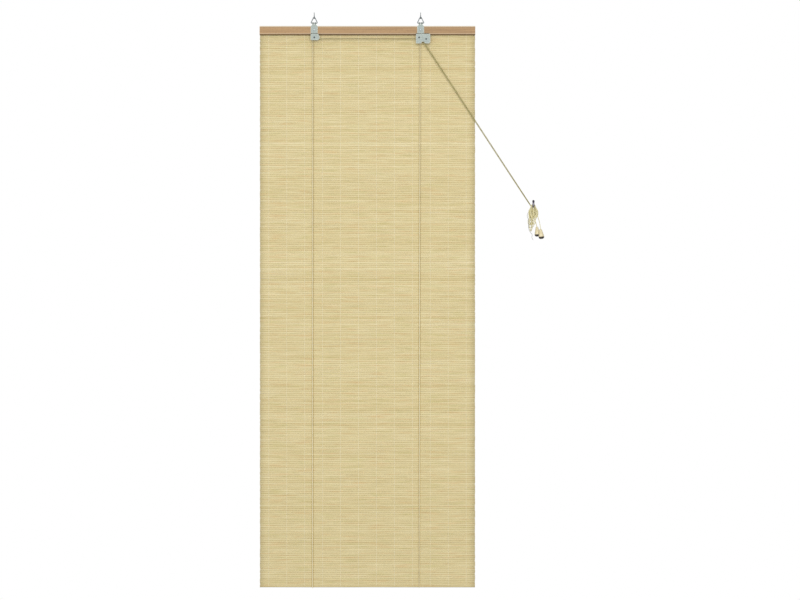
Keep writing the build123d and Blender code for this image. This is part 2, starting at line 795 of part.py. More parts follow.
# Pull cords: the taut stretches from the lock to the wall hook.
hank_entry_y = hank_centre[1]
pull_one = rod(
    (lane_one_start[0], across_plane_y, lane_one_start[1]),
    (lane_one_end[0], hank_entry_y, lane_one_end[1]),
    cord_radius,
)
pull_two = rod(
    (lane_two_start[0], right_cord_plane_y, lane_two_start[1]),
    (lane_two_end[0], hank_entry_y - lane_step, lane_two_end[1]),
    cord_radius,
)
pull_one.label = "pull_cord_1"
pull_two.label = "pull_cord_2"
export_step(pull_one, "parts/pull_cord_1.step")
export_step(pull_two, "parts/pull_cord_2.step")


def tassel_plane(top, lean):
    """The plane of a tassel's top, tilted about Y so that its foot swings to the right."""
    side = (cos(radians(lean)), 0, sin(radians(lean)))
    up = (-sin(radians(lean)), 0, cos(radians(lean)))
    return Plane(origin=top, x_dir=side, z_dir=up)


def tassel_on(plane):
    """A turned bell, bored for the cord at its crown and hollow below."""
    side_plane = Plane(origin=plane.origin, x_dir=plane.x_dir, z_dir=plane.x_dir.cross(plane.z_dir))
    with BuildPart() as bell:
        with BuildSketch(side_plane):
            with BuildLine():
                Polyline(
                    (tassel_bore_radius, 0),
                    (tassel_neck_radius, 0),
                    (tassel_shoulder_radius, -tassel_shoulder_drop),
                    (tassel_mouth_radius, -tassel_height),
                    (tassel_mouth_radius - tassel_wall, -tassel_height),
                    (tassel_shoulder_radius - tassel_wall, -tassel_shoulder_drop),
                    (tassel_neck_radius - tassel_wall / 2, -tassel_crown),
                    (tassel_bore_radius, -tassel_crown),
                    close=True,
                )
            make_face()
        revolve(axis=Axis(plane.origin, plane.z_dir))
    return bell.part


def cord_tail(name, route, plane):
    """The end of a pull cord: out of the hank, through the tassel's crown, and knotted inside."""
    top = plane.origin
    knot = top - plane.z_dir * tassel_knot_drop
    points = route + [tuple(top + plane.z_dir * tassel_wall), tuple(knot)]
    radii = route_radii(name, points)
    with BuildPart() as tail:
        add(tube_along(points, cord_radius, radii))
        with Locations(knot):
            Sphere(tassel_knot_radius)
    return tail.part


# Tassels and the cord ends that carry them.
for name, tail_name, top, lean, route in (
    ("large_tassel", "pull_cord_1_tail", large_tassel_top, large_tassel_lean, tail_one),
    ("small_tassel", "pull_cord_2_tail", small_tassel_top, small_tassel_lean, tail_two),
):
    plane = tassel_plane(top, lean)
    tassel = tassel_on(plane)
    tassel.label = name
    export_step(tassel, f"parts/{name}.step")
    tail = cord_tail(tail_name, route, plane)
    tail.label = tail_name
    export_step(tail, f"parts/{tail_name}.step")

# Tie: the thin cord that gathers the hank, whose loose end hangs below it.
tie_cord = tube_along(tie_tail, tie_radius, route_radii("tie_cord", tie_tail))
tie_cord.label = "tie_cord"
export_step(tie_cord, "parts/tie_cord.step")
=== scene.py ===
import math
import random

import bpy
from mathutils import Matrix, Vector, noise


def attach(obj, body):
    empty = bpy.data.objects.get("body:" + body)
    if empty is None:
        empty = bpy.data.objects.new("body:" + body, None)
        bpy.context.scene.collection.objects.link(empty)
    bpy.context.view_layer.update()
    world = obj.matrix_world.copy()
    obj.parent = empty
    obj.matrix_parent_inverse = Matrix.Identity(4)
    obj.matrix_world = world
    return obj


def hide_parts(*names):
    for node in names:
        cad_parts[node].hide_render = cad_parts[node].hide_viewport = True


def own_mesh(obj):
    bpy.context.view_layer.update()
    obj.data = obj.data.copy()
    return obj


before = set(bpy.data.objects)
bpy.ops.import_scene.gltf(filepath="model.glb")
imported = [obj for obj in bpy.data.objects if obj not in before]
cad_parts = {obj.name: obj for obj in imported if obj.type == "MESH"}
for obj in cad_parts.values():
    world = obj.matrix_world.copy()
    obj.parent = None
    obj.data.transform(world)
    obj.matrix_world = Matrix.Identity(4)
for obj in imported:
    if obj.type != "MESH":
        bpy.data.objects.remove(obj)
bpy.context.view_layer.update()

random.seed(8)
noise.seed_set(8)  # noise vectors start from the clock without this
mm = 0.001  # lengths below are in millimetres, and Blender's are in metres

# Camera: square on to the blind, a little to its right, far enough back for a flat view.
cameraSetup = {"place": (0.0906, -6.0, -0.7913), "lens": 97.1}
camera = bpy.data.objects.new("camera", bpy.data.cameras.new("camera"))
camera.location = cameraSetup["place"]
camera.rotation_euler = (math.radians(90), 0, 0)
camera.data.lens = cameraSetup["lens"]
camera.data.clip_end = 60
bpy.context.scene.collection.objects.link(camera)
bpy.context.scene.camera = camera
bpy.context.scene.view_settings.view_transform = "Standard"


def toLinear(hexColour):
    parts = [int(hexColour[i:i + 2], 16) / 255 for i in (1, 3, 5)]
    return [c / 12.92 if c <= 0.04045 else ((c + 0.055) / 1.055) ** 2.4 for c in parts] + [1]


def addNode(tree, kind, settings=None, links=None):
    node = tree.nodes.new(kind)
    for name, value in (settings or {}).items():
        if name == "stops":  # a ramp's places and colours
            ramp = node.color_ramp.elements
            while len(ramp) < len(value):
                ramp.new(0.5)
            for element, (place, colour) in zip(ramp, value):
                element.position, element.color = place, toLinear(colour)
        elif isinstance(name, int) or name in node.inputs:
            node.inputs[name].default_value = value
        else:
            setattr(node, name, value)
    for name, source in (links or {}).items():
        tree.links.new(source, node.inputs[name])
    return node


def startMaterial(name, sockets):
    material = bpy.data.materials.new(name)
    material.use_nodes = True
    skin = material.node_tree.nodes["Principled BSDF"]
    for socket, value in sockets.items():
        skin.inputs[socket].default_value = value
    return material, material.node_tree, skin


def newPiece(name, points, faces, material, body, slot):
    mesh = bpy.data.meshes.new(name)
    mesh.from_pydata([Vector(p) * mm for p in points], [], faces)
    mesh.update()
    mesh.shade_smooth()
    mesh.materials.append(material)
    piece = bpy.data.objects.new(name, mesh)
    bpy.context.scene.collection.objects.link(piece)
    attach(piece, body)
    return piece


def addCurve(name, points, radius):
    curve = bpy.data.curves.new(name, "CURVE")
    curve.dimensions = "3D"
    curve.resolution_u = 8
    curve.bevel_depth = radius * mm
    curve.bevel_resolution = 3
    curve.use_fill_caps = True
    spline = curve.splines.new("NURBS")
    spline.points.add(len(points) - 1)
    for point, place in zip(spline.points, points):
        point.co = (*[value * mm for value in place], 1)
    spline.order_u = 3
    spline.use_endpoint_u = True
    piece = bpy.data.objects.new(name, curve)
    bpy.context.scene.collection.objects.link(piece)
    return piece


def lineOf(points):
    # The smooth line of a route, read from its own spline, in millimetres.
    guide = addCurve("guide", points, 0)
    mesh = bpy.data.meshes.new_from_object(guide.evaluated_get(bpy.context.evaluated_depsgraph_get()))
    line = [vertex.co / mm for vertex in mesh.vertices]
    bpy.data.objects.remove(guide)
    bpy.data.meshes.remove(mesh)
    return line


def lengthOf(line):
    return sum((b - a).length for a, b in zip(line, line[1:]))


def layCord(name, settings, material):
    # A free cord, drawn as a curve, with its length printed.
    cord = addCurve(name, settings["route"], settings["radius"])
    cord.data.materials.append(material)
    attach(cord, "blind_frame")
    print(name, round(lengthOf(lineOf(settings["route"])), 1), "mm")
    return cord


def coatAbove(piece, material, height):
    # A second finish on the faces above a height, in millimetres.
    piece.data.materials.append(material)
    for face in piece.data.polygons:
        face.material_index = 1 if face.center.z / mm > height else 0


def sweep(line, radiusAt, sides, closed=False):
    # Rings of points along a line. radiusAt takes the distance along it and the angle round it.
    points, faces = [], []
    count = len(line)
    side = None
    walked = 0
    for index, place in enumerate(line):
        after = line[(index + 1) % count] if closed else line[min(index + 1, count - 1)]
        before = line[index - 1] if closed or index else line[0]
        ahead = (after - before).normalized()
        if side is None:
            side = ahead.orthogonal().normalized()
        side = (side - ahead * side.dot(ahead)).normalized()
        up = ahead.cross(side)
        if index:
            walked += (place - line[index - 1]).length
        for step in range(sides):
            angle = 2 * math.pi * step / sides
            reach = radiusAt(walked, angle)
            points.append(place + side * (math.cos(angle) * reach) + up * (math.sin(angle) * reach))
    for ring in range(count if closed else count - 1):
        low, high = ring * sides, (ring + 1) % count * sides
        for step in range(sides):
            nextStep = (step + 1) % sides
            faces.append((low + step, low + nextStep, high + nextStep, high + step))
    if not closed:
        faces.append(tuple(reversed(range(sides))))
        faces.append(tuple(range(len(points) - sides, len(points))))
    return points, faces


def joinMeshes(parts):
    points, faces = [], []
    for partPoints, partFaces in parts:
        shift = len(points)
        points += partPoints
        faces += [tuple(index + shift for index in face) for face in partFaces]
    return points, faces


print("helpers ready")


def splitBamboo():
    # Split bamboo, planed and woven raw: dry and matt, each slat its own straw tone, with fine fibre lines.
    material, tree, skin = startMaterial("splitBamboo", {"Roughness": 0.62, "Specular IOR Level": 0.32})
    place = addNode(tree, "ShaderNodeUVMap")
    tone = addNode(tree, "ShaderNodeAttribute", {"attribute_name": "slatTone"})
    # One slat is 5.94 mm high, so 168 steps a metre up the mat give each its own patches along X.
    patchPlace = addNode(tree, "ShaderNodeMapping", {"Scale": (13, 168, 1)}, {"Vector": place.outputs["UV"]})
    patches = addNode(
        tree, "ShaderNodeTexNoise", {"Scale": 1.0, "Detail": 3, "Roughness": 0.6},
        {"Vector": patchPlace.outputs["Vector"]})
    # Fibres are about 0.4 mm wide and 60 mm long.
    fibrePlace = addNode(tree, "ShaderNodeMapping", {"Scale": (16, 2500, 1)}, {"Vector": place.outputs["UV"]})
    fibres = addNode(
        tree, "ShaderNodeTexNoise", {"Scale": 1.0, "Detail": 2}, {"Vector": fibrePlace.outputs["Vector"]})
    mixed = addNode(
        tree, "ShaderNodeMath", {"operation": "MULTIPLY_ADD", 1: 0.55},
        {0: patches.outputs["Fac"], 2: tone.outputs["Fac"]})
    straw = addNode(
        tree, "ShaderNodeValToRGB",
        {"stops": [(0.2, "#d0bf8c"), (0.45, "#dacb9b"), (0.7, "#e3d6aa"), (0.95, "#ece1ba")]},
        {"Fac": mixed.outputs[0]})
    # Skin left on a slat is greener, and a ripe one is pinker.
    tintPlace = addNode(
        tree, "ShaderNodeMapping", {"Scale": (14, 168, 1), "Location": (3, 7, 0)},
        {"Vector": place.outputs["UV"]})
    tint = addNode(
        tree, "ShaderNodeTexNoise", {"Scale": 1.0, "Detail": 2}, {"Vector": tintPlace.outputs["Vector"]})
    tints = addNode(
        tree, "ShaderNodeValToRGB",
        {"stops": [(0.3, "#dfe6bd"), (0.46, "#ffffff"), (0.54, "#ffffff"), (0.72, "#f7d3b4")]},
        {"Fac": tint.outputs["Fac"]})
    coloured = addNode(
        tree, "ShaderNodeMix", {"data_type": "RGBA", "blend_type": "MULTIPLY", 0: 0.3},
        {6: straw.outputs["Color"], 7: tints.outputs["Color"]})
    lines = addNode(
        tree, "ShaderNodeValToRGB", {"stops": [(0.3, "#c8bb98"), (0.62, "#ffffff")]},
        {"Fac": fibres.outputs["Fac"]})
    lined = addNode(
        tree, "ShaderNodeMix", {"data_type": "RGBA", "blend_type": "MULTIPLY", 0: 0.55},
        {6: coloured.outputs[2], 7: lines.outputs["Color"]})
    # Painted shade: a thin dark line 2.8 mm to either side of each lift cord's middle stands for the cord's
    # shadow on the slats.
    # The cords lean a little, so the lines do too.
    places = addNode(tree, "ShaderNodeSeparateXYZ", {}, {"Vector": place.outputs["UV"]})
    cordShadeLines = []
    for middle, slope in ((-0.15154, 0.00092), (0.14651, 0.00184)):
        upright = addNode(
            tree, "ShaderNodeMath", {"operation": "MULTIPLY_ADD", 1: -slope},
            {0: places.outputs["Y"], 2: places.outputs["X"]})
        cordShadeLines.append(addNode(
            tree, "ShaderNodeMath", {"operation": "COMPARE", 1: middle, 2: 0.0028}, {0: upright.outputs[0]}))
    cordShadeLine = addNode(
        tree, "ShaderNodeMath", {"operation": "MAXIMUM"}, {0: cordShadeLines[0].outputs[0], 1: cordShadeLines[1].outputs[0]})
    # the lift cords' painted shade lines darken the slat colour
    wearAndPaintedShade = addNode(
        tree, "ShaderNodeMix", {"data_type": "RGBA", "blend_type": "MULTIPLY", 7: toLinear("#dfd6ba")},
        {0: cordShadeLine.outputs[0], 6: lined.outputs[2]})
    # Painted shade: the lowest 2 mm is darkened grey, for the hem's shaded underside.
    low = addNode(
        tree, "ShaderNodeMapRange", {"From Min": -1.5925, "From Max": -1.5898}, {"Value": places.outputs["Y"]})
    paintedHemShade = addNode(
        tree, "ShaderNodeValToRGB", {"stops": [(0.3, "#a8a08c"), (1.0, "#ffffff")]},
        {"Fac": low.outputs["Result"]})
    # the painted hem shade darkens the colour
    wearAndPaintedShade = addNode(
        tree, "ShaderNodeMix", {"data_type": "RGBA", "blend_type": "MULTIPLY", 0: 1.0},
        {6: wearAndPaintedShade.outputs[2], 7: paintedHemShade.outputs["Color"]})
    bump = addNode(
        tree, "ShaderNodeBump", {"Strength": 0.35, "Distance": 0.0002}, {"Height": fibres.outputs["Fac"]})
    tree.links.new(wearAndPaintedShade.outputs[2], skin.inputs["Base Color"])
    tree.links.new(bump.outputs["Normal"], skin.inputs["Normal"])
    return material


def bambooCore():
    # The bottom slat: solid bamboo, sanded, a darker straw with grain along X.
    material, tree, skin = startMaterial("bambooCore", {"Roughness": 0.55, "Specular IOR Level": 0.35})
    place = addNode(tree, "ShaderNodeTexCoord")
    grainPlace = addNode(
        tree, "ShaderNodeMapping", {"Scale": (12, 1400, 1400)}, {"Vector": place.outputs["Object"]})
    grain = addNode(
        tree, "ShaderNodeTexNoise", {"Scale": 1.0, "Detail": 4}, {"Vector": grainPlace.outputs["Vector"]})
    colour = addNode(
        tree, "ShaderNodeValToRGB", {"stops": [(0.3, "#b59a62"), (0.7, "#dac690")]},
        {"Fac": grain.outputs["Fac"]})
    bump = addNode(
        tree, "ShaderNodeBump", {"Strength": 0.3, "Distance": 0.0002}, {"Height": grain.outputs["Fac"]})
    tree.links.new(colour.outputs["Color"], skin.inputs["Base Color"])
    tree.links.new(bump.outputs["Normal"], skin.inputs["Normal"])
    return material


def lacqueredPine():
    # Stained pine under satin lacquer: warm brown, long grain along X, a soft sheen on the rounded edge.
    material, tree, skin = startMaterial(
        "lacqueredPine", {"Roughness": 0.5, "Coat Weight": 0.12, "Coat Roughness": 0.3})
    place = addNode(tree, "ShaderNodeTexCoord")
    # Grain lines are 1 to 2 mm apart and run most of the rail.
    grainPlace = addNode(
        tree, "ShaderNodeMapping", {"Scale": (4, 620, 620)}, {"Vector": place.outputs["Object"]})
    grain = addNode(
        tree, "ShaderNodeTexNoise", {"Scale": 1.0, "Detail": 5, "Roughness": 0.6, "Distortion": 0.6},
        {"Vector": grainPlace.outputs["Vector"]})
    porePlace = addNode(
        tree, "ShaderNodeMapping", {"Scale": (120, 2600, 2600)}, {"Vector": place.outputs["Object"]})
    pores = addNode(
        tree, "ShaderNodeTexNoise", {"Scale": 1.0, "Detail": 1}, {"Vector": porePlace.outputs["Vector"]})
    colour = addNode(
        tree, "ShaderNodeValToRGB", {"stops": [(0.3, "#855f33"), (0.5, "#a47e4a"), (0.7, "#bb935f")]},
        {"Fac": grain.outputs["Fac"]})
    dark = addNode(
        tree, "ShaderNodeValToRGB", {"stops": [(0.3, "#c4a887"), (0.45, "#ffffff")]},
        {"Fac": pores.outputs["Fac"]})
    stained = addNode(
        tree, "ShaderNodeMix", {"data_type": "RGBA", "blend_type": "MULTIPLY", 0: 0.75},
        {6: colour.outputs["Color"], 7: dark.outputs["Color"]})
    # Painted shade along the lower edge, for the shaded underside, under a painted highlight line, and a painted
    # highlight along the top edge.
    # The rail is 24.6 mm high.
    height = addNode(tree, "ShaderNodeSeparateXYZ", {}, {"Vector": place.outputs["Object"]})
    share = addNode(
        tree, "ShaderNodeMapRange", {"From Min": -0.0536, "From Max": -0.029}, {"Value": height.outputs["Z"]})
    # painted shade: the lowest part of the rail is darkened
    paintedUndersideShade = addNode(
        tree, "ShaderNodeValToRGB", {"stops": [(0.0, "#958827"), (0.07, "#958827"), (0.095, "#ffffff")]},
        {"Fac": share.outputs["Result"]})
    withUndersideShade = addNode(
        tree, "ShaderNodeMix", {"data_type": "RGBA", "blend_type": "MULTIPLY", 0: 1.0},
        {6: stained.outputs[2], 7: paintedUndersideShade.outputs["Color"]})
    # painted highlights: a pale line above the shaded band, and a pale top edge
    pale = addNode(
        tree, "ShaderNodeValToRGB",
        {"stops": [
            (0.095, "#000000"), (0.13, "#b0b0b0"), (0.2, "#000000"), (0.86, "#000000"), (0.93, "#e0e0e0")]},
        {"Fac": share.outputs["Result"]})
    paintedLightAndShade = addNode(
        tree, "ShaderNodeMix", {"data_type": "RGBA", 7: toLinear("#ddcfb4")},
        {0: pale.outputs["Color"], 6: withUndersideShade.outputs[2]})
    bump = addNode(
        tree, "ShaderNodeBump", {"Strength": 0.12, "Distance": 0.0002}, {"Height": grain.outputs["Fac"]})
    tree.links.new(paintedLightAndShade.outputs[2], skin.inputs["Base Color"])
    tree.links.new(bump.outputs["Normal"], skin.inputs["Normal"])
    return material


def steelFinish(name, dark, light, roughness, spangle, wear, edgeHighlight=None):
    # Coated steel: crystals or grit of a real size break up its shine, and rubbed places are lighter.
    material, tree, skin = startMaterial(name, {"Metallic": 1.0})
    place = addNode(tree, "ShaderNodeTexCoord")
    crystals = addNode(
        tree, "ShaderNodeTexVoronoi", {"Scale": 1 / (spangle * mm)}, {"Vector": place.outputs["Object"]})
    wearAndPaintedShade = addNode(
        tree, "ShaderNodeTexNoise", {"Scale": 1 / (wear * mm), "Detail": 4}, {"Vector": place.outputs["Object"]})
    both = addNode(
        tree, "ShaderNodeMath", {"operation": "MULTIPLY_ADD", 1: 0.35},
        {0: crystals.outputs["Color"], 2: wearAndPaintedShade.outputs["Fac"]})
    colour = addNode(
        tree, "ShaderNodeValToRGB", {"stops": [(0.35, dark), (0.9, light)]}, {"Fac": both.outputs[0]})
    finish = colour.outputs["Color"]
    if edgeHighlight:  # painted highlight: pressed edges are made pale over about 1.2 mm, where the rounded and the true normals part
        rounded = addNode(tree, "ShaderNodeBevel", {"samples": 6, "Radius": 0.0012})
        true = addNode(tree, "ShaderNodeNewGeometry")
        parted = addNode(
            tree, "ShaderNodeVectorMath", {"operation": "DOT_PRODUCT"},
            {0: rounded.outputs["Normal"], 1: true.outputs["Normal"]})
        paintedEdgeHighlight = addNode(
            tree, "ShaderNodeMapRange", {"From Min": 0.995, "From Max": 0.8}, {"Value": parted.outputs["Value"]})
        finish = addNode(
            tree, "ShaderNodeMix", {"data_type": "RGBA", 7: toLinear(edgeHighlight)},
            {0: paintedEdgeHighlight.outputs["Result"], 6: finish}).outputs[2]
    gloss = addNode(
        tree, "ShaderNodeMapRange", {"To Min": roughness - 0.08, "To Max": roughness + 0.1},
        {"Value": wearAndPaintedShade.outputs["Fac"]})
    bump = addNode(tree, "ShaderNodeBump", {"Strength": 0.12, "Distance": 0.0001}, {"Height": both.outputs[0]})
    tree.links.new(finish, skin.inputs["Base Color"])
    tree.links.new(gloss.outputs["Result"], skin.inputs["Roughness"])
    tree.links.new(bump.outputs["Normal"], skin.inputs["Normal"])
    return material


def braidedCotton(name, dark, light, pitch, paintedLightAndShade=None):
    # Glazed cotton cord: a tight braid whose strands catch the light, with painted highlight on the crests and
    # painted shade in the valleys between them.
    material, tree, skin = startMaterial(
        name, {"Roughness": 0.7, "Sheen Weight": 0.25, "Specular IOR Level": 0.3})
    place = addNode(tree, "ShaderNodeTexCoord")
    heights = []
    for slant in (1, -1):  # the two ways that the strands wind
        turned = addNode(
            tree, "ShaderNodeMapping", {"Rotation": (0.4 * slant, 0.75 * slant, 0.3)},
            {"Vector": place.outputs["Object"]})
        heights.append(addNode(
            tree, "ShaderNodeTexWave",
            {"Scale": 0.314 / (pitch * mm), "Distortion": 0.4, "bands_direction": "Z"},
            {"Vector": turned.outputs["Vector"]}))
    crossed = addNode(
        tree, "ShaderNodeMath", {"operation": "MAXIMUM"},
        {0: heights[0].outputs["Fac"], 1: heights[1].outputs["Fac"]})
    soiled = addNode(
        tree, "ShaderNodeTexNoise", {"Scale": 90, "Detail": 3}, {"Vector": place.outputs["Object"]})
    braidShadeAndSoil = addNode(
        tree, "ShaderNodeMath", {"operation": "MULTIPLY_ADD", 1: 0.6},
        {0: crossed.outputs[0], 2: soiled.outputs["Fac"]})
    # painted shade in the braid's valleys and painted highlight on its crests, with soiling
    colour = addNode(
        tree, "ShaderNodeValToRGB", {"stops": [(0.45, dark), (1.0, light)]}, {"Fac": braidShadeAndSoil.outputs[0]})
    bump = addNode(
        tree, "ShaderNodeBump", {"Strength": 0.6, "Distance": 0.0002}, {"Height": crossed.outputs[0]})
    finish = colour.outputs["Color"]
    if paintedLightAndShade:  # painted shade: the stretch pulled through the lock, above the wall hook, is darkened
        height = addNode(tree, "ShaderNodeSeparateXYZ", {}, {"Vector": place.outputs["Object"]})
        wearAndPaintedShade = addNode(
            tree, "ShaderNodeMapRange", {"From Min": -0.530, "From Max": -0.522}, {"Value": height.outputs["Z"]})
        shadedStretch = addNode(
            tree, "ShaderNodeMix", {"data_type": "RGBA", "blend_type": "MULTIPLY", 0: 1.0, 7: toLinear(paintedLightAndShade)},
            {6: colour.outputs["Color"]})
        finish = addNode(
            tree, "ShaderNodeMix", {"data_type": "RGBA"},
            {0: wearAndPaintedShade.outputs["Result"], 6: colour.outputs["Color"], 7: shadedStretch.outputs[2]}).outputs[2]
    tree.links.new(finish, skin.inputs["Base Color"])
    tree.links.new(bump.outputs["Normal"], skin.inputs["Normal"])
    return material


def mouldedNylon():
    # Moulded nylon: waxy and slightly cloudy, with a fine eggshell grain.
    material, tree, skin = startMaterial(
        "mouldedNylon", {"Roughness": 0.45, "IOR": 1.53, "Subsurface Weight": 0.05})
    place = addNode(tree, "ShaderNodeTexCoord")
    grain = addNode(
        tree, "ShaderNodeTexNoise", {"Scale": 1800, "Detail": 3}, {"Vector": place.outputs["Object"]})
    colour = addNode(
        tree, "ShaderNodeValToRGB", {"stops": [(0.3, "#6f6552"), (0.7, "#857a64")]},
        {"Fac": grain.outputs["Fac"]})
    bump = addNode(
        tree, "ShaderNodeBump", {"Strength": 0.15, "Distance": 0.0001}, {"Height": grain.outputs["Fac"]})
    tree.links.new(colour.outputs["Color"], skin.inputs["Base Color"])
    tree.links.new(bump.outputs["Normal"], skin.inputs["Normal"])
    return material


def turnedBeech():
    # Turned beech under clear varnish: pale cream, short flecks down the bell, a burnt brown band at the mouth.
    material, tree, skin = startMaterial(
        "turnedBeech", {"Roughness": 0.32, "Coat Weight": 0.4, "Coat Roughness": 0.15})
    place = addNode(tree, "ShaderNodeTexCoord")
    band = addNode(tree, "ShaderNodeAttribute", {"attribute_name": "rimBand"})
    fleckPlace = addNode(
        tree, "ShaderNodeMapping", {"Scale": (900, 900, 160)}, {"Vector": place.outputs["Object"]})
    flecks = addNode(
        tree, "ShaderNodeTexNoise", {"Scale": 1.0, "Detail": 4}, {"Vector": fleckPlace.outputs["Vector"]})
    pale = addNode(
        tree, "ShaderNodeValToRGB", {"stops": [(0.3, "#d6c596"), (0.7, "#ece2c0")]},
        {"Fac": flecks.outputs["Fac"]})
    burnt = addNode(
        tree, "ShaderNodeValToRGB", {"stops": [(0.3, "#170e05"), (0.7, "#2c1c0a")]},
        {"Fac": flecks.outputs["Fac"]})
    banded = addNode(
        tree, "ShaderNodeMix", {"data_type": "RGBA"},
        {0: band.outputs["Fac"], 6: pale.outputs["Color"], 7: burnt.outputs["Color"]})
    bump = addNode(
        tree, "ShaderNodeBump", {"Strength": 0.1, "Distance": 0.0002}, {"Height": flecks.outputs["Fac"]})
    tree.links.new(banded.outputs[2], skin.inputs["Base Color"])
    tree.links.new(bump.outputs["Normal"], skin.inputs["Normal"])
    return material


bamboo = splitBamboo()
slatWood = bambooCore()
pine = lacqueredPine()
# the sheet's pale edges are a painted highlight
zincSheet = steelFinish("galvanisedSheet", "#7b8380", "#9ba39e", 0.55, 2.2, 5.0, edgeHighlight="#e0e0d2")
zincBright = steelFinish("brightZincPlate", "#8a9192", "#a6adad", 0.5, 1.2, 3.0)
zincPin = steelFinish("galvanisedPin", "#6b7370", "#8b938e", 0.62, 2.2, 5.0)
linkWire = steelFinish("galvanisedWire", "#5f6769", "#949c9e", 0.42, 1.0, 2.5)
hookSteel = steelFinish("darkZincWire", "#3c4042", "#7d8486", 0.4, 0.6, 2.0)
blackOxide = steelFinish("blackOxideSteel", "#26282a", "#55585a", 0.5, 0.6, 2.0)
gunmetal = steelFinish("gunmetalPaint", "#6b6772", "#aaa6ae", 0.45, 0.5, 2.0)
blackPaint = steelFinish("blackPaint", "#2f2b33", "#5a5560", 0.4, 0.5, 2.0)
# the pull cord's taut stretch takes a painted shade colour
cottonCord = braidedCotton("braidedCottonCord", "#a39a62", "#e9e0b2", 1.1, paintedLightAndShade="#b8b598")
liftCotton = braidedCotton("cleanCottonCord", "#cfc498", "#faf2d2", 1.1)
# painted shade: the cord runs across the rail are made dark, standing for the shadow line under the pale cord
paintedShadeCotton = braidedCotton("paintedShadeCottonCord", "#5a5232", "#887e58", 1.1)
greyThread = braidedCotton("greyThread", "#7f7f7c", "#b2b2ae", 0.7)
warpCotton = braidedCotton("cottonWarp", "#d8cc9e", "#f4ecd0", 0.5)
nylon = mouldedNylon()
beech = turnedBeech()
print("materials ready")

# Pull cords: taut from the lock to the wall hook, round its bar, wound in turns, then down to a tassel.
pullCords = {
    "radius": 0.9,
    "bar": (461.3, -531.0),
    "wrapReach": 4.33,  # the control points stand this far from the bar's middle
    "taut": {
        "one": [(157.33, -0.8, -78.1), (163.35, -0.66, -87.28), (450.3, 5.86, -525.13)],
        "two": [(159.0, -4.0, -77.0), (165.02, -3.85, -86.18), (451.9, 3.86, -524.03)],
    },
    # The two cords are wound as a pair. Each turn: reach left and right high up; its fold's middle along X,
    # radius, lowest point and how far it is turned edge on; 1 where its runs keep their sides and -1 where
    # they cross; the share of reach kept half way down; its place along the bar and where it hangs, along Y;
    # and its lift off the bar, where it lies over other turns.
    "turns": [
        (12.4, 12.4, 454.4, 6.5, -600, 64, 1, 0.92, 1.2, 0.4, 0),
        (8.0, 10.4, 458.8, 6.4, -588, -50, -1, 0.85, 2.1, -2.0, 1.7),
        (10.4, 1.6, 452.6, 6.5, -591, 54, -1, 0.3, 5.9, 3.4, 1.7),
        (1.2, 13.0, 463.2, 6.4, -581, -56, 1, 0.9, 8.8, 6.6, 0),
        (12.2, 5.2, 455.8, 6.5, -596, 62, -1, 0.6, 12.4, 12.4, 0),
        (4.4, 9.0, 451.8, 6.4, -582, -50, 1, 0.7, 11.5, 9.6, 1.7),
    ],
    "apart": 0.95,  # each cord's distance from the pair's middle
    # Every turn: how far below the bar its upper points stand, the share of its reach at the first of them,
    # the depth at which it hangs free, how far above the fold it turns in, and how far its strands stray
    # and part.
    "drops": (7, 15, 27), "firstShare": 0.74, "freeDrop": 14, "turnIn": 9, "stray": 0.6, "strayBack": 0.4,
    "split": 0.6,
    "overBar": (22, 67, 112, 157),  # the angles of the route's points round the bar, between two turns
    "onToBar": (236, 281, 326, 371, 416, 461, 506),  # and from the taut stretch, once round it
    "entry": {"one": 6.0, "two": 4.0},  # where each cord comes to the bar, along Y
    "tails": {
        "one": [
            (457.2, 8.0, -536), (462.0, -2.6, -542), (469.5, -1.5, -549), (475.0, 0.5, -562),
            (479.4, 0.8, -578), (481.4, 0, -592.9), (482.1, 0, -600.5),
        ],
        "two": [
            (456.8, 6.0, -537), (459.5, 13.5, -548), (464.5, 16.5, -562), (469.0, 15.6, -575),
            (472.1, 14, -585.9), (472.6, 14, -593.5),
        ],
    },
}


def roundBar(y, angles, lift=0.0):
    reach = pullCords["wrapReach"] + lift
    x, z = pullCords["bar"]
    return [(x + reach * math.cos(math.radians(a)), y, z + reach * math.sin(math.radians(a))) for a in angles]


